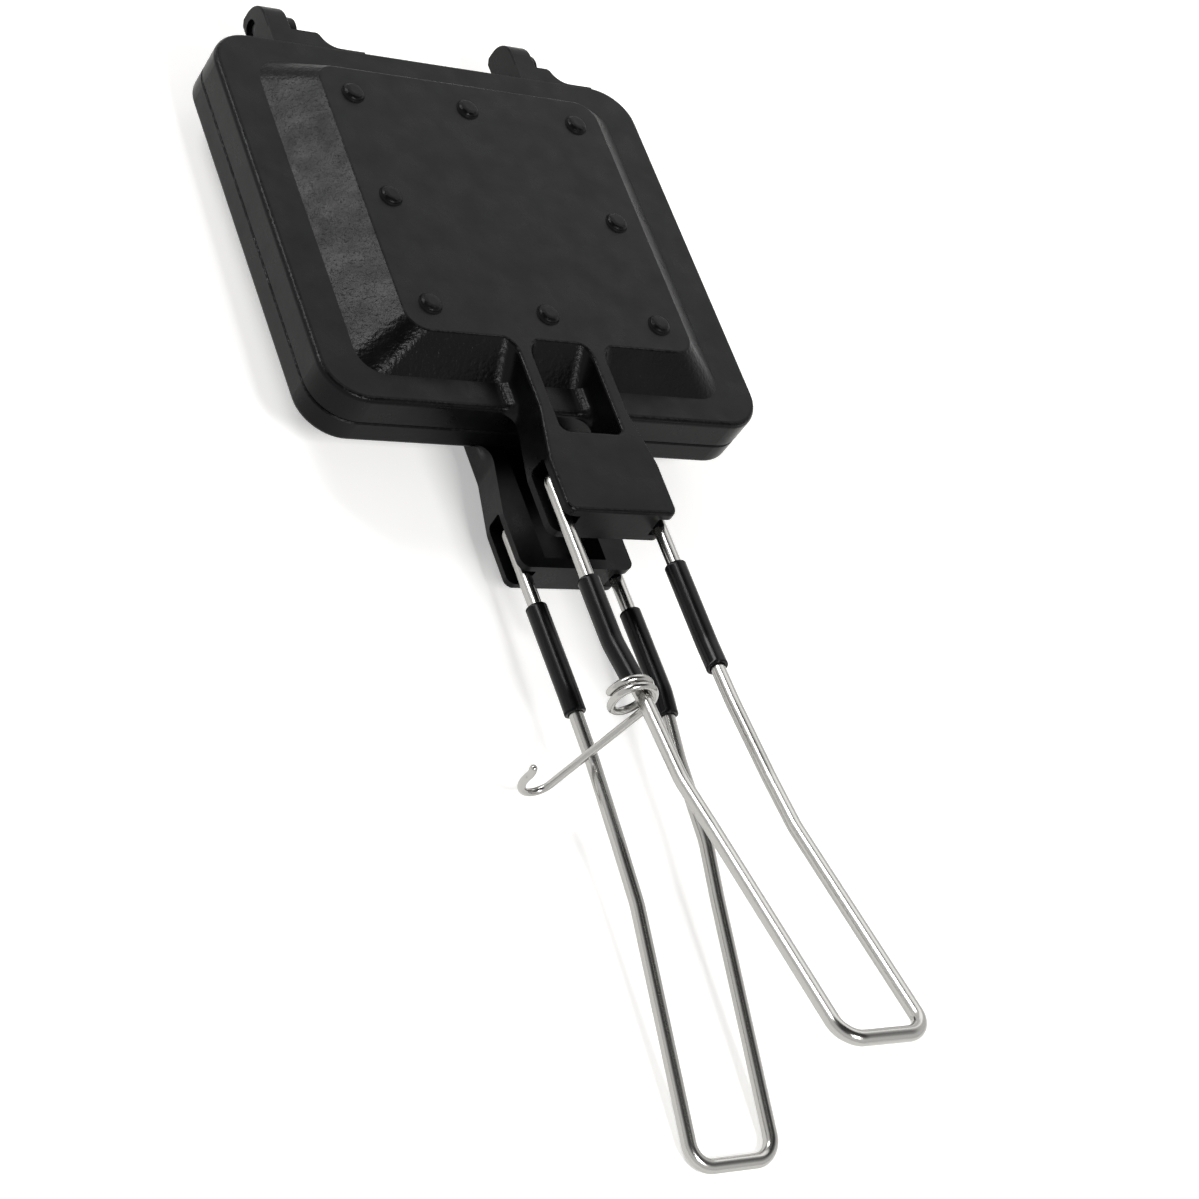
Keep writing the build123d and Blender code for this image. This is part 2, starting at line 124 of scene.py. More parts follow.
def number(label, text, default):
    """A plain number from nought up."""
    return bpy.props.FloatProperty(name=label, description=text, default=default, min=0)


def power(label, text, default):
    """A lamp's power in watts."""
    return bpy.props.FloatProperty(name=label, description=text, default=default, unit="POWER")


class PieIronWire(bpy.types.PropertyGroup):
    """Sizes of the two handle wires"""
    radius: length("Wire radius", "Half the handle wire's thickness", 2.0 * MM)
    inner: length("Pin end", "Half the space between the wire's two ends in the bracket", 9.7 * MM)
    half: lengths("Half widths", "Leg's distance from the middle at the pivot and at each bend",
                  (15.3 * MM, 15.3 * MM, 14.05 * MM, 14.05 * MM, 12.95 * MM, 12.85 * MM))
    reach: lengths("Bends", "Place of each bend and of the cross bar along the iron",
                   (-144.0 * MM, -164.0 * MM, -188.0 * MM, -204.0 * MM, -269.8 * MM))
    rise: lengths("Rises", "Height of each bend and of the cross bar over the closed plates' mid-plane",
                  (11.9 * MM, 13.95 * MM, 15.85 * MM, 18.75 * MM, 34.1 * MM))
    bends: lengths("Bend radii", "Radius at the pivot, at the four leg bends and at the loop's corner",
                   (2.4 * MM, 28.0 * MM, 28.0 * MM, 30.0 * MM, 24.0 * MM, 6.0 * MM))
    splay: angle("Splay", "How far both handles sit up in their channels", 0.72)


class PieIronSleeves(bpy.types.PropertyGroup):
    """Sizes of the four soft sleeves"""
    radius: length("Outer radius", "Half the soft sleeve's thickness", 3.0 * MM)
    fit: length("Fit", "Space between the sleeve and the wire", 0.05 * MM)
    long: length("Length", "Length of each sleeve", 33.5 * MM)
    lip: length("Lip", "Rounding of the sleeve's cut ends", 0.32 * MM)
    starts: lengths("Starts", "Where the sleeves begin: upper left, upper right, lower left, lower right",
                    (-124.0 * MM, -118.6 * MM, -116.6 * MM, -117.6 * MM))


class PieIronLatch(bpy.types.PropertyGroup):
    """Sizes of the latch hook"""
    radius: length("Wire radius", "Half the latch wire's thickness", 1.1 * MM)
    place: length("Place", "Where the eye hangs along the iron", -160.2 * MM)
    eye: length("Eye radius", "Centre line radius of the eye", 5.8 * MM)
    gap: length("Gap", "Space between the eye and the leg at their contact", 0.2 * MM)
    pitch: length("Pitch", "Step from one turn of the eye to the next", 2.45 * MM)
    turns: number("Turns", "Turns of wire in the eye", 1.6)
    across: direction("Across", "Sideways direction that the eye, arm and hook are laid out on",
                      (1.0, 0.0, 0.0625))
    hang: direction("Hang", "Direction of the eye's middle from the leg", (-0.75, -0.66))
    aim: direction("Aim", "Direction of the latch's arm", (-0.48, -0.877))
    arm: length("Arm", "Length of the arm up to the hook", 32.0 * MM)
    level: length("Levelling bend", "Radius where the arm levels out of the eye's pitch", 20.0 * MM)
    hook: length("Hook radius", "Centre line radius of the hook", 5.2 * MM)
    tip: length("Tip", "Length of the hook's tip", 4.0 * MM)
    flare: direction("Flare", "How far the tip runs back and how far out, as shares of its length",
                     (0.83, 0.55))


class PieIronFinish(bpy.types.PropertyGroup):
    """Colours and patterns of the finishes"""
    coating: colour("Coating", "Black non-stick coating on the castings", "#080809")
    steel: colour("Wire", "Drawn stainless steel wire", "#A8A7A4")
    pin: colour("Pins", "Blackened steel hinge pins", "#3A3A3B")
    silicone: colour("Sleeves", "Black silicone tube", "#080809")
    grain: length("Cast grain", "Width of the grains that the mould leaves under the coating", 1.2 * MM)
    grain_depth: length("Grain depth", "Depth of the cast grain on the sloping walls", 0.19 * MM)
    patch: length("Patches", "Width of the soft patches in the sprayed coating's sheen", 9.0 * MM)
    die_line: length("Die lines", "Length of a drawing line along the wire", 40.0 * MM)
    wire_rough: number("Wire roughness", "Roughness of the handle wires", 0.2)
    latch_rough: number("Latch roughness", "Roughness of the thinner latch wire", 0.18)
    tooth: length("Tooth", "Width of the fine marks on the hinge pins", 0.4 * MM)
    bloom: length("Bloom", "Width of the cloudy spots on the sleeves", 2.5 * MM)


class PieIronStage(bpy.types.PropertyGroup):
    """Floor, lamps, sky and camera"""
    floor: colour("Floor", "Pale floor", "#F3F2EF")
    floor_half: length("Floor size", "Half the floor's width", 1.5)
    floor_gap: length("Floor gap", "Space between the floor and what stands on it", 0.1 * MM)
    feet: length("Far feet", "Place along the iron where the far feet stand", 38.6 * MM)
    camera: lengths("Camera place", "Where the camera stands", (-0.429335, -0.466596, 0.508565))
    turn: bpy.props.FloatVectorProperty(
        name="Camera turn", description="Turn of the camera about X, Y and Z", size=3, subtype="EULER",
        default=tuple(math.radians(degrees) for degrees in (40.24235, -29.16634, -21.06454)), precision=5
    )
    lens: bpy.props.FloatProperty(
        name="Lens", description="Focal length on a 36 mm wide sensor", default=82.96, unit="CAMERA"
    )
    key: power("Key", "Soft box behind the left side", 16.5)
    key_place: lengths("Key place", "Where that soft box hangs", (-0.80, 0.98, 1.15))
    key_size: length("Key size", "Width of that soft box", 0.6)
    rim: power("Rim", "Soft box behind the right side", 3.9)
    rim_place: lengths("Rim place", "Where that soft box hangs", (0.65, 0.85, 1.15))
    rim_size: length("Rim size", "Width of that soft box", 1.0)
    fill: power("Fill", "Soft box in front", 13.0)
    fill_place: lengths("Fill place", "Where that soft box hangs", (0.0, -1.05, 1.12))
    fill_size: length("Fill size", "Width of that soft box", 0.4)
    aim: lengths("Lamp aim", "Point that every soft box faces", (0.0, -50.0 * MM, MID_HEIGHT))
    sky: number("Sky", "Even light from all round", 0.18)
    sweep_end: angle("Sweep", "How high the white sweep reaches before it darkens", 34)
    ceiling_start: angle("Ceiling start", "How high the ceiling has its full dark tone", 56)
    ceiling: number("Ceiling", "Tone of the dark ceiling in reflections", 0.06)
    lift: number("Lift", "White added to the floor's look", 0.42)


# ---------------------------------------------------------------- surfaces
def unit(vectors):
    """Each vector divided by its own length."""
    return vectors / np.linalg.norm(vectors, axis=-1, keepdims=True)


def rounded_route(corners, radii, step=0.35 * MM):
    """Straight runs joined by tangent arcs. Each arc leaves its corner's two runs at radius times the
    tangent of half the turn and sweeps from one run's direction to the other's; returns even points."""
    corners = np.asarray(corners, float)
    runs = unit(np.diff(corners, axis=0))
    points = [corners[:1]]
    for corner, radius, before, after in zip(corners[1:-1], radii, runs[:-1], runs[1:]):
        turn = math.acos(np.clip(before @ after, -1, 1))
        reach = radius * math.tan(turn / 2)
        start = corner - before * reach
        inward = unit(after - before * math.cos(turn))
        swept = np.linspace(0, turn, max(4, int(radius * turn / step)))[:, None]
        points.append(start + radius * (np.sin(swept) * before + (1 - np.cos(swept)) * inward))
    points.append(corners[-1:])
    return np.concatenate(points)


def along(points, reference):
    """A sampler of a route: from the distance along it to the place and the two directions across it.
    The first direction across is square to the reference vector, so the section doesn't twist. Points on
    top of each other are dropped, and a distance past either end runs on straight."""
    span, same = 0.15 * MM, 0.0001 * MM
    gaps = np.linalg.norm(np.diff(points, axis=0), axis=1)
    keep = np.concatenate([[True], gaps > same])
    points = points[keep]
    distance = np.concatenate([[0], np.cumsum(np.linalg.norm(np.diff(points, axis=0), axis=1))])

    def at(s):
        inside = np.clip(s, 0, distance[-1])
        place = np.stack([np.interp(inside, distance, points[:, i]) for i in range(3)], axis=-1)
        near = np.clip(inside[..., None] + np.array([-span, span]), 0, distance[-1])
        ends = np.stack([np.interp(near, distance, points[:, i]) for i in range(3)], axis=-1)
        tangent = unit(ends[..., 1, :] - ends[..., 0, :])
        side = unit(np.cross(tangent, reference))
        return place + (s - inside)[..., None] * tangent, side, np.cross(side, tangent)

    return at, distance[-1]


def carried(at, s, radius, sides):
    """A round section carried along a route: at each profile point (distance, radius) a ring is laid at
    the place + radius times (cosine of the way round on one direction across + sine on the other)."""
    place, side, up = at(s)
    round_it = np.linspace(0, 2 * math.pi, sides, endpoint=False)
    ring = np.cos(round_it)[:, None] * side[:, None, :] + np.sin(round_it)[:, None] * up[:, None, :]
    return place[:, None, :] + radius[:, None, None] * ring


def grid_object(name, grid, s, closed_profile=False):
    """A mesh from a grid of rings. The rings join round, the ends close on a pole each, or the last ring
    joins the first where the profile is closed. The map holds metres along and round the piece."""
    rows, cols, _ = grid.shape
    co = grid.reshape(-1, 3)
    ring = np.arange(rows if closed_profile else rows - 1)[:, None] * cols
    next_ring = (ring + cols) % (rows * cols)
    side = np.arange(cols)[None, :]
    next_side = (side + 1) % cols
    quads = np.broadcast_arrays(ring + side, ring + next_side, next_ring + next_side, next_ring + side)
    faces = np.stack(quads, -1).reshape(-1, 4).tolist()
    if not closed_profile:
        poles = np.stack([grid[0].mean(axis=0), grid[-1].mean(axis=0)])
        first_pole, last_pole = len(co), len(co) + 1
        co = np.concatenate([co, poles])
        side, next_side = side[0], next_side[0]
        last_ring = (rows - 1) * cols
        faces += np.stack([next_side, side, np.full(cols, first_pole)], -1).tolist()
        faces += np.stack([last_ring + side, last_ring + next_side, np.full(cols, last_pole)], -1).tolist()
    mesh = bpy.data.meshes.new(name)
    mesh.from_pydata(co.tolist(), [], faces)
    mesh.update()
    mesh.polygons.foreach_set("use_smooth", np.ones(len(mesh.polygons), bool))
    corner = np.empty(len(mesh.loops), np.int32)
    mesh.loops.foreach_get("vertex_index", corner)
    row = np.minimum(corner // cols, rows - 1)
    turn = (corner % cols) / cols
    uv = np.stack([np.asarray(s)[row], turn], -1)
    layer = mesh.uv_layers.new(name="surface")
    layer.data.foreach_set("uv", uv.astype(np.float32).ravel())
    made = bpy.data.objects.new(name, mesh)
    bpy.context.scene.collection.objects.link(made)
    return made


def outward(made):
    """Turn every face outwards, whichever way round the grid was laid."""
    mesh = bmesh.new()
    mesh.from_mesh(made.data)
    bmesh.ops.recalc_face_normals(mesh, faces=mesh.faces)
    mesh.to_mesh(made.data)
    mesh.free()
    made.data.update()
    return made


def set_down(points, upper, wire):
    """Tilt points about the pivot line by the splay, mirror them for the lower handle, and lift them.
    The tilt is a plain turn: y cos - z sin and y sin + z cos, both from the pivot."""
    pivot_y, pivot_z = UPPER_PIVOT[1], UPPER_PIVOT[2] - MID_HEIGHT
    tilt = -wire.splay if upper else wire.splay
    y, z = points[..., 1] - pivot_y, points[..., 2] - pivot_z
    out = np.array(points, float)
    out[..., 1] = pivot_y + y * math.cos(tilt) - z * math.sin(tilt)
    out[..., 2] = pivot_z + y * math.sin(tilt) + z * math.cos(tilt)
    if not upper:
        out[..., 2] *= -1
    out[..., 2] += MID_HEIGHT
    return out


def leg_corners(wire, side):
    """Corners of one leg's centre line, from the pivot to the cross bar."""
    y = [UPPER_PIVOT[1], *wire.reach]
    z = [UPPER_PIVOT[2] - MID_HEIGHT, *wire.rise]
    return np.stack([side * np.array(wire.half), y, z], -1)


def latch_frame(wire, latch):
    """Place and three directions of the straight stretch of leg that the latch hangs on: across it,
    upwards from it, and down its length. Across is the given direction less its part along the leg."""
    leg = leg_corners(wire, -1)
    share = (latch.place - leg[1, 1]) / (leg[2, 1] - leg[1, 1])
    place = leg[1] + (leg[2] - leg[1]) * share
    down = unit(leg[2] - leg[1])
    across = np.array(latch.across)
    across = unit(across - (across @ down) * down)
    return place, across, np.cross(down, across), down


# ---------------------------------------------------------------- finishes
def add(tree, kind, inputs=None, **settings):
    """Add a node: settings are its own, inputs are values or the sockets that feed it."""
    made = tree.nodes.new(kind)
    for key, value in settings.items():
        setattr(made, key, value)
    for key, value in (inputs or {}).items():
        if isinstance(value, bpy.types.NodeSocket):
            tree.links.new(value, made.inputs[key])
        else:
            made.inputs[key].default_value = value
    return made


def blank(name):
    """A new material and its empty node tree."""
    material = bpy.data.materials.new(name)
    material.use_nodes = True
    material.node_tree.nodes.clear()
    return material, material.node_tree


def coated_casting(finish):
    """PTFE coating sprayed on die-cast aluminium: satin black with a low index, so its edges shine little,
    and a sheen in soft patches. The mould's grain shows through on the walls that slope, and hardly at
    all on the flats and the upright sides."""
    material, tree = blank("PTFE_coated_cast_aluminium")
    coords = add(tree, "ShaderNodeTexCoord")
    place = coords.outputs["Object"]
    normal = add(tree, "ShaderNodeSeparateXYZ", {0: coords.outputs["Normal"]})
    # how level a face lies is 1 on the flats and 0 on upright sides; the grain is full from 0.66 to 0.90
    level = add(tree, "ShaderNodeMath", {0: normal.outputs["Z"]}, operation="ABSOLUTE")
    off_flats = add(tree, "ShaderNodeMapRange",
                    {"Value": level.outputs[0], "From Min": 0.985, "From Max": 0.90,
                     "To Min": 0.08, "To Max": 1.0})
    off_sides = add(tree, "ShaderNodeMapRange",
                    {"Value": level.outputs[0], "From Min": 0.56, "From Max": 0.66,
                     "To Min": 0.1, "To Max": 1.0})
    slope = add(tree, "ShaderNodeMath", {0: off_flats.outputs["Result"], 1: off_sides.outputs["Result"]},
                operation="MULTIPLY")
    grain = add(tree, "ShaderNodeTexNoise",
                {"Vector": place, "Scale": 1 / finish.grain, "Detail": 2.0, "Roughness": 0.5})
    depth = add(tree, "ShaderNodeMath", {0: grain.outputs["Fac"], 1: slope.outputs[0]},
                operation="MULTIPLY")
    bump = add(tree, "ShaderNodeBump",
               {"Height": depth.outputs[0], "Distance": finish.grain_depth, "Strength": 1.0})
    patches = add(tree, "ShaderNodeTexNoise",
                  {"Vector": place, "Scale": 1 / finish.patch, "Detail": 4.0, "Roughness": 0.6})
    shade = add(tree, "ShaderNodeMapRange",
                {"Value": patches.outputs["Fac"], "From Min": 0.3, "From Max": 0.7,
                 "To Min": 0.85, "To Max": 1.15})
    tint = add(tree, "ShaderNodeMix", {0: 1.0, 6: (*finish.coating, 1), 7: shade.outputs["Result"]},
               data_type="RGBA", blend_type="MULTIPLY")
    rough = add(tree, "ShaderNodeMapRange",
                {"Value": patches.outputs["Fac"], "From Min": 0.35, "From Max": 0.65,
                 "To Min": 0.26, "To Max": 0.38})
    shader = add(tree, "ShaderNodeBsdfPrincipled",
                 {"Base Color": tint.outputs[2], "Roughness": rough.outputs["Result"], "IOR": 1.35,
                  "Specular IOR Level": 0.18, "Normal": bump.outputs["Normal"]})
    add(tree, "ShaderNodeOutputMaterial", {"Surface": shader.outputs[0]})
    return material


def drawn_steel(name, finish, rough):
    """Drawn stainless steel wire: bright metal with die lines that run along it and break up its
    highlights a little."""
    material, tree = blank(name)
    mapped = add(tree, "ShaderNodeUVMap", uv_map="surface")
    # sixty lines go round the wire, which is coarser than real ones, because finer ones wouldn't show
    lines_round = 60.0
    lines = add(tree, "ShaderNodeMapping",
                {"Vector": mapped.outputs["UV"], "Scale": (1 / finish.die_line, lines_round, 1.0)})
    streak = add(tree, "ShaderNodeTexNoise",
                 {"Vector": lines.outputs["Vector"], "Scale": 1.0, "Detail": 4.0})
    bump = add(tree, "ShaderNodeBump", {"Height": streak.outputs["Fac"], "Distance": 0.012 * MM})
    polish = add(tree, "ShaderNodeMapRange",
                 {"Value": streak.outputs["Fac"], "From Min": 0.3, "From Max": 0.7,
                  "To Min": rough - 0.04, "To Max": rough + 0.06})
    shader = add(tree, "ShaderNodeBsdfPrincipled",
                 {"Base Color": (*finish.steel, 1), "Metallic": 1.0, "Roughness": polish.outputs["Result"],
                  "Normal": bump.outputs["Normal"]})
    add(tree, "ShaderNodeOutputMaterial", {"Surface": shader.outputs[0]})
    return material


def blackened_steel(finish):
    """Blackened steel pin: dark metal with a fine even tooth that dulls its shine slightly."""
    material, tree = blank("blackened_steel_pin")
    place = add(tree, "ShaderNodeTexCoord").outputs["Object"]
    tooth = add(tree, "ShaderNodeTexNoise", {"Vector": place, "Scale": 1 / finish.tooth, "Detail": 2.0})
    bump = add(tree, "ShaderNodeBump", {"Height": tooth.outputs["Fac"], "Distance": 0.01 * MM})
    shader = add(tree, "ShaderNodeBsdfPrincipled",
                 {"Base Color": (*finish.pin, 1), "Metallic": 1.0, "Roughness": 0.3,
                  "Normal": bump.outputs["Normal"]})
    add(tree, "ShaderNodeOutputMaterial", {"Surface": shader.outputs[0]})
    return material


def silicone(finish):
    """Extruded silicone tube: soft satin black, with a faint cloudy bloom and drag lines along it."""
    material, tree = blank("extruded_silicone")
    coords = add(tree, "ShaderNodeTexCoord").outputs["Object"]
    mapped = add(tree, "ShaderNodeUVMap", uv_map="surface")
    # a drag line is about half a millimetre wide and 11 mm long, drawn coarser than life so that it shows
    lines_per_metre, lines_round = 90.0, 36.0
    drag = add(tree, "ShaderNodeMapping",
               {"Vector": mapped.outputs["UV"], "Scale": (lines_per_metre, lines_round, 1.0)})
    line = add(tree, "ShaderNodeTexNoise",
               {"Vector": drag.outputs["Vector"], "Scale": 1.0, "Detail": 3.0})
    bump = add(tree, "ShaderNodeBump", {"Height": line.outputs["Fac"], "Distance": 0.02 * MM})
    bloom = add(tree, "ShaderNodeTexNoise", {"Vector": coords, "Scale": 1 / finish.bloom, "Detail": 3.0})
    rough = add(tree, "ShaderNodeMapRange",
                {"Value": bloom.outputs["Fac"], "From Min": 0.3, "From Max": 0.7,
                 "To Min": 0.2, "To Max": 0.28})
    shader = add(tree, "ShaderNodeBsdfPrincipled",
                 {"Base Color": (*finish.silicone, 1), "Roughness": rough.outputs["Result"], "IOR": 1.41,
                  "Specular IOR Level": 0.2, "Normal": bump.outputs["Normal"]})
    add(tree, "ShaderNodeOutputMaterial", {"Surface": shader.outputs[0]})
    return material


def background_rays(tree):
    """One for rays that show the background: straight from the camera, mirrored or passed through."""
    path = add(tree, "ShaderNodeLightPath").outputs
    sharp = add(tree, "ShaderNodeMath", {0: path["Is Camera Ray"], 1: path["Is Glossy Ray"]},
                operation="MAXIMUM")
    every = add(tree, "ShaderNodeMath", {0: sharp.outputs[0], 1: path["Is Transmission Ray"]},
                operation="MAXIMUM")
    return every.outputs[0]


def pale_floor(stage):
    """Plain matt paper floor. Rays that show the background see a little more white, so the paper reads
    as white and keeps the shadow."""
    material, tree = blank("matt_paper")
    paper = add(tree, "ShaderNodeBsdfDiffuse", {"Color": (*stage.floor, 1)})
    extra = add(tree, "ShaderNodeMath", {0: background_rays(tree), 1: stage.lift}, operation="MULTIPLY")
    glow = add(tree, "ShaderNodeEmission", {"Color": (1, 1, 1, 1), "Strength": extra.outputs[0]})
    both = add(tree, "ShaderNodeAddShader", {0: paper.outputs[0], 1: glow.outputs[0]})
    add(tree, "ShaderNodeOutputMaterial", {"Surface": both.outputs[0]})
    return material


def dress(made, material):
    """Give a piece one material in place of any it had."""
    made.data.materials.clear()
    made.data.materials.append(material)


# ---------------------------------------------------------------- operators
class PIEIRON_OT_castings(bpy.types.Operator):
    """Give the two coated plates and the hinge pins their finishes"""
    bl_idname = "pie_iron.castings"
    bl_label = "Coat the castings"

    def execute(self, context):
        finish = context.scene.pie_iron_finish
        coat = coated_casting(finish)
        pin = blackened_steel(finish)
        for node in ("lower_plate", "upper_plate"):
            dress(frame["nodes"][node], coat)
        for node in ("left_hinge_pin", "right_hinge_pin"):
            dress(frame["nodes"][node], pin)
        return {"FINISHED"}


class PIEIRON_OT_handles(bpy.types.Operator):
    """Bend the two handle wires"""
    bl_idname = "pie_iron.handles"
    bl_label = "Bend the handle wires"

    def execute(self, context):
        wire, finish = context.scene.pie_iron_wire, context.scene.pie_iron_finish
        material = drawn_steel("drawn_stainless_wire", finish, finish.wire_rough)
        pivot = [UPPER_PIVOT[1], UPPER_PIVOT[2] - MID_HEIGHT]
        left, right = leg_corners(wire, -1), leg_corners(wire, 1)
        corners = [(-wire.inner, *pivot), *left, *right[::-1], (wire.inner, *pivot)]
        radii = [*wire.bends, *reversed(tuple(wire.bends))]
        route = rounded_route(corners, radii)
        for name, upper in (("upper", True), ("lower", False)):
            at, total = along(set_down(route, upper, wire), (0, 0, 1))
            s = np.append(np.arange(0, total, RING_STEP), total)
            radius = np.full(len(s), wire.radius)
            grid = carried(at, s, radius, WIRE_SIDES)
            made = outward(grid_object(name + "_handle_wire", grid, s))
            dress(made, material)
            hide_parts(name + "_handle")
            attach(made, name + "_handle")
        return {"FINISHED"}


class PIEIRON_OT_sleeves(bpy.types.Operator):
    """Push the four soft sleeves on the legs"""
    bl_idname = "pie_iron.sleeves"
    bl_label = "Push on the sleeves"

    def execute(self, context):
        wire, sleeves = context.scene.pie_iron_wire, context.scene.pie_iron_sleeves
        material = silicone(context.scene.pie_iron_finish)
        inner = wire.radius + sleeves.fit
        names = ("upper_left", "upper_right", "lower_left", "lower_right")
        for name, start in zip(names, sleeves.starts):
            upper = name.startswith("upper")
            leg = leg_corners(wire, -1 if name.endswith("left") else 1)
            first = np.array([leg[1, 0], start, leg[1, 2]])
            share = (start - sleeves.long - leg[1, 1]) / (leg[2, 1] - leg[1, 1])
            last = leg[1] + (leg[2] - leg[1]) * share
            route = rounded_route([first, leg[1], last], [wire.bends[1]])
            at, total = along(set_down(route, upper, wire), (0, 0, 1))
            s, radius = self.profile(total, sleeves, inner)
            grid = carried(at, s, radius, SLEEVE_SIDES)
            made = outward(grid_object(name + "_silicone_sleeve", grid, s, closed_profile=True))
            dress(made, material)
            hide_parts(name + "_sleeve")
            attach(made, name.split("_")[0] + "_handle")
        return {"FINISHED"}

    def profile(self, total, sleeves, inner):
        """Closed section of the tube's wall: out along the outside, round one lip, back along the bore,
        round the other lip. Each lip is two quarter circles."""
        lip, outer = sleeves.lip, sleeves.radius
        quarter = np.linspace(0, math.pi / 2, LIP_POINTS)
        run = np.linspace(lip, total - lip, SLEEVE_RINGS)
        level = np.ones(len(run))
        s = np.concatenate([run, total - lip + lip * np.sin(quarter), total - lip + lip * np.cos(quarter),
                            run[::-1], lip - lip * np.sin(quarter), lip - lip * np.cos(quarter)])
        radius = np.concatenate([outer * level, outer - lip + lip * np.cos(quarter),
                                 inner + lip - lip * np.sin(quarter), inner * level,
                                 inner + lip - lip * np.cos(quarter), outer - lip + lip * np.sin(quarter)])
        return s, radius


class PIEIRON_OT_latch(bpy.types.Operator):
    """Wind the latch hook's eye and bend its hook"""
    bl_idname = "pie_iron.latch"
    bl_label = "Wind the latch hook"

    def execute(self, context):
        wire, latch = context.scene.pie_iron_wire, context.scene.pie_iron_latch
        finish = context.scene.pie_iron_finish
        place, across, rise, down = latch_frame(wire, latch)
        hang = unit(np.array(latch.hang)) * (latch.eye - latch.radius - wire.radius - latch.gap)
        aim = unit(np.array(latch.aim))
        left = np.array([aim[1], -aim[0], 0.0])
        start = math.atan2(-left[1], -left[0])
        long = latch.turns * latch.pitch
        # the eye is a helix: hang + radius times (cosine, sine) of an angle that runs back to the start
        # angle, while it moves evenly along the leg from half its length before the place to half after
        back = np.linspace(1, 0, EYE_POINTS)
        turn = start + back * latch.turns * 2 * math.pi
        eye = np.stack([hang[0] + latch.eye * np.cos(turn), hang[1] + latch.eye * np.sin(turn),
                        (0.5 - back) * long], -1)
        # the arm leaves on the helix's own tangent and levels out on a wide bend
        leaving = unit(np.array([*(2 * math.pi * latch.eye * aim), latch.pitch]))
        knee = eye[-1] + leaving * latch.radius
        aim = np.array([*aim, 0.0])
        arm = rounded_route([eye[-1], knee, knee + aim * latch.arm], [latch.level])
        # the hook is half a circle, then a short tip that runs back and flares out by its own square
        sweep = np.linspace(0, math.pi, HOOK_POINTS)[1:, None]
        hook = arm[-1] + latch.hook * ((1 - np.cos(sweep)) * left + np.sin(sweep) * aim)
        bow = np.linspace(0, 1, TIP_POINTS)[1:, None]
        run_back, run_out = latch.flare
        tip = hook[-1] + latch.tip * (-aim * bow * run_back + left * bow ** 2 * run_out)
        local = np.concatenate([eye, arm, hook, tip])
        route = place + local[:, :1] * across + local[:, 1:2] * rise + local[:, 2:] * down
        at, total = along(set_down(route, True, wire), down)
        # both ends are domes, a quarter circle from a pole of almost no radius to the full one
        dome = np.linspace(0, math.pi / 2, DOME_POINTS)
        pole, clear = 0.001 * MM, 2 * MM
        run = np.arange(clear, total - clear, LATCH_RING_STEP)
        s = np.concatenate([latch.radius * (1 - np.cos(dome)), run,
                            total - latch.radius * (1 - np.sin(dome))])
        radius = np.concatenate([latch.radius * np.sin(dome), np.full(len(run), latch.radius),
                                 latch.radius * np.cos(dome)])
        grid = carried(at, s, np.maximum(radius, pole), LATCH_SIDES)
        made = outward(grid_object("latch_wire", grid, s))
        dress(made, drawn_steel("drawn_spring_wire", finish, finish.latch_rough))
        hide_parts("latch_hook")
        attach(made, "latch")
        return {"FINISHED"}


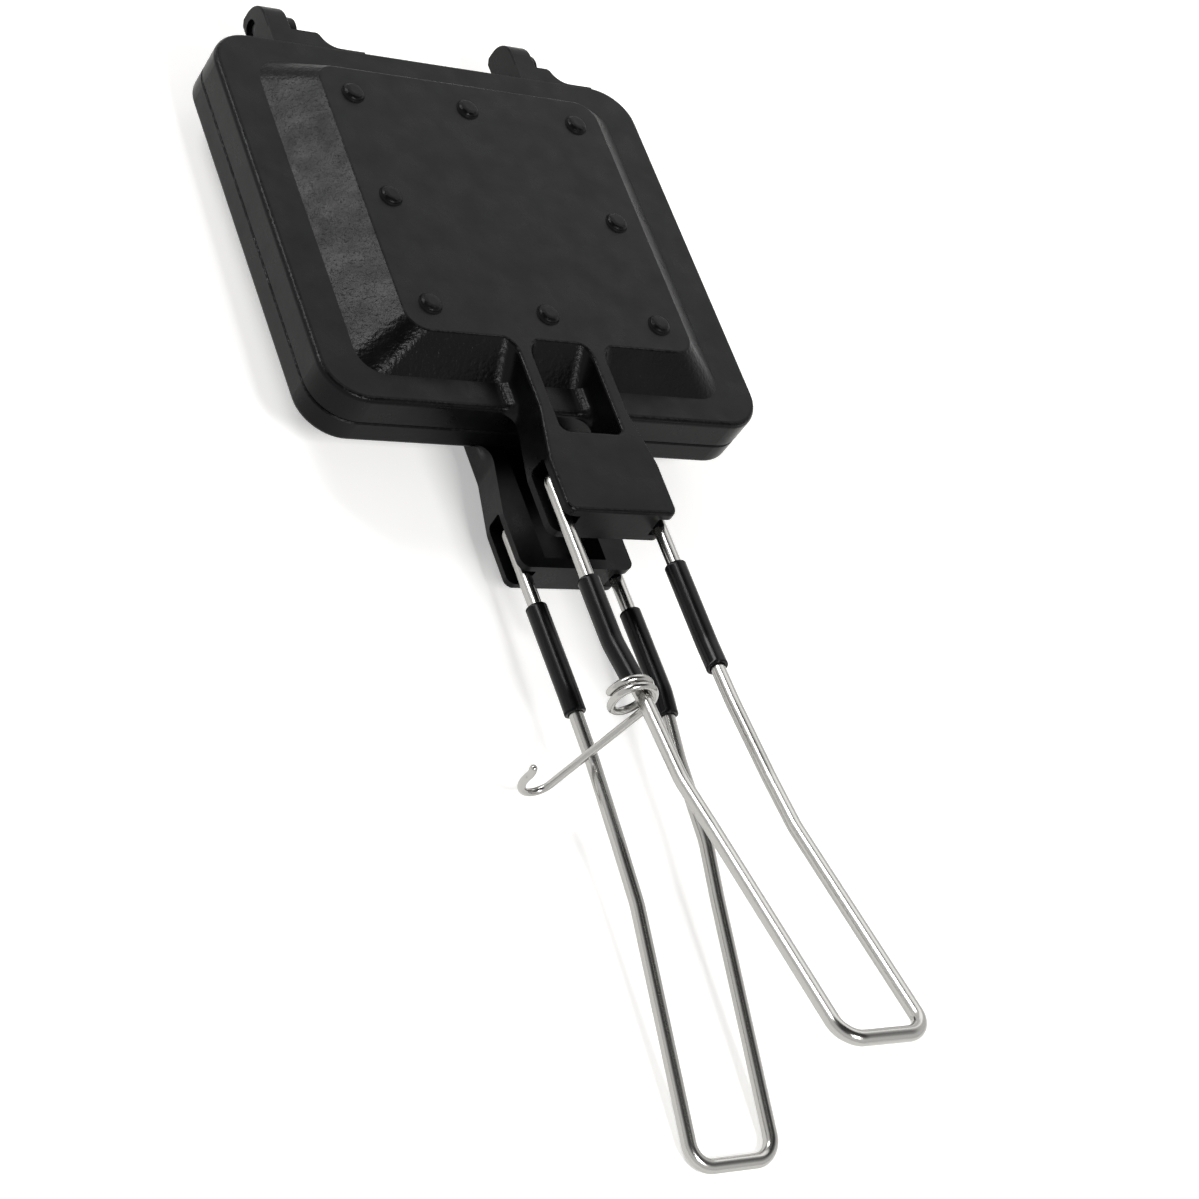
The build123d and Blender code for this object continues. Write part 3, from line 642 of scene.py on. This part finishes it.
class PIEIRON_OT_stage(bpy.types.Operator):
    """Lay the floor, set the lamps and stand the camera"""
    bl_idname = "pie_iron.stage"
    bl_label = "Set the stage"

    def execute(self, context):
        stage = context.scene.pie_iron_stage
        self.floor(stage)
        self.lamp("key", stage.key_place, stage.key_size, stage.key, stage.aim)
        self.lamp("rim", stage.rim_place, stage.rim_size, stage.rim, stage.aim)
        self.lamp("fill", stage.fill_place, stage.fill_size, stage.fill, stage.aim)
        self.sky(stage)
        self.camera(stage)
        return {"FINISHED"}

    def floor(self, stage):
        """A wide plane that touches what the iron stands on, the far feet and the lower loop. Its height
        is the feet's plus the way from them times the slope between the two."""
        feet_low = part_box("lower_plate")[0].z
        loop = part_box("lower_handle")[0]
        slope = (feet_low - loop.z) / (stage.feet - loop.y)
        lines = 9
        reach = np.linspace(-stage.floor_half, stage.floor_half, lines)
        x, y = np.meshgrid(reach, reach)
        z = feet_low + (y - stage.feet) * slope - stage.floor_gap
        co = np.stack([x, y, z], -1).reshape(-1, 3)
        i, j = np.meshgrid(np.arange(lines - 1), np.arange(lines - 1), indexing="ij")
        first = i * lines + j
        faces = np.stack([first, first + 1, first + lines + 1, first + lines], -1)
        mesh = bpy.data.meshes.new("floor")
        mesh.from_pydata(co.tolist(), [], faces.reshape(-1, 4).tolist())
        made = bpy.data.objects.new("floor", mesh)
        bpy.context.scene.collection.objects.link(made)
        dress(made, pale_floor(stage))

    def lamp(self, name, place, size, energy, aim):
        """A square soft box that faces the point it is aimed at."""
        data = bpy.data.lights.new(name, "AREA")
        data.shape = "SQUARE"
        data.size = size
        data.energy = energy
        made = bpy.data.objects.new(name, data)
        made.location = place
        facing = Vector(aim) - Vector(place)
        made.rotation_euler = facing.to_track_quat("-Z", "Y").to_euler()
        bpy.context.scene.collection.objects.link(made)

    def sky(self, stage):
        """What the camera and reflections see is white low down and gives way to a dark ceiling. What
        lights the object is a plain low grey."""
        world = bpy.data.worlds.new("studio")
        bpy.context.scene.world = world
        world.use_nodes = True
        tree = world.node_tree
        tree.nodes.clear()
        way = add(tree, "ShaderNodeTexCoord").outputs["Generated"]
        height = add(tree, "ShaderNodeSeparateXYZ", {0: way})
        seen = add(tree, "ShaderNodeMapRange",
                   {"Value": height.outputs["Z"], "From Min": math.sin(stage.sweep_end),
                    "From Max": math.sin(stage.ceiling_start), "To Min": 1.0, "To Max": stage.ceiling})
        light = add(tree, "ShaderNodeMapRange",
                    {"Value": background_rays(tree), "To Min": stage.sky, "To Max": seen.outputs["Result"]})
        back = add(tree, "ShaderNodeBackground",
                   {"Color": (1, 1, 1, 1), "Strength": light.outputs["Result"]})
        add(tree, "ShaderNodeOutputWorld", {"Surface": back.outputs[0]})

    def camera(self, stage):
        """The scene's camera, on a sensor 36 mm wide."""
        data = bpy.data.cameras.new("camera")
        data.sensor_width = 36.0
        data.lens = stage.lens
        data.clip_start, data.clip_end = 0.01, 50
        made = bpy.data.objects.new("camera", data)
        made.location = stage.camera
        made.rotation_euler = stage.turn
        bpy.context.scene.collection.objects.link(made)
        bpy.context.scene.camera = made


class PIEIRON_PT_panel(bpy.types.Panel):
    """Lists the sizes and colours, and the steps that dress the pie iron"""
    bl_label = "Pie iron"
    bl_idname = "PIEIRON_PT_panel"
    bl_space_type = "VIEW_3D"
    bl_region_type = "UI"
    bl_category = "Pie iron"

    def draw(self, context):
        for name, group in GROUPS.items():
            box = self.layout.box()
            box.label(text=name.capitalize())
            for key in group.__annotations__:
                box.prop(getattr(context.scene, "pie_iron_" + name), key)
        for operator in OPERATORS:
            self.layout.operator(operator.bl_idname)


GROUPS = {"wire": PieIronWire, "sleeves": PieIronSleeves, "latch": PieIronLatch,
          "finish": PieIronFinish, "stage": PieIronStage}
OPERATORS = (PIEIRON_OT_castings, PIEIRON_OT_handles, PIEIRON_OT_sleeves, PIEIRON_OT_latch,
             PIEIRON_OT_stage)


def register():
    for name, group in GROUPS.items():
        bpy.utils.register_class(group)
        setattr(bpy.types.Scene, "pie_iron_" + name, bpy.props.PointerProperty(type=group))
    for operator in OPERATORS:
        bpy.utils.register_class(operator)
    bpy.utils.register_class(PIEIRON_PT_panel)


def unregister():
    bpy.utils.unregister_class(PIEIRON_PT_panel)
    for operator in reversed(OPERATORS):
        bpy.utils.unregister_class(operator)
    for name, group in GROUPS.items():
        delattr(bpy.types.Scene, "pie_iron_" + name)
        bpy.utils.unregister_class(group)


def main():
    register()
    bpy.context.scene.view_settings.view_transform = "Standard"
    bpy.ops.pie_iron.castings()
    bpy.ops.pie_iron.handles()
    bpy.ops.pie_iron.sleeves()
    bpy.ops.pie_iron.latch()
    bpy.ops.pie_iron.stage()


if __name__ == "__main__":
    main()
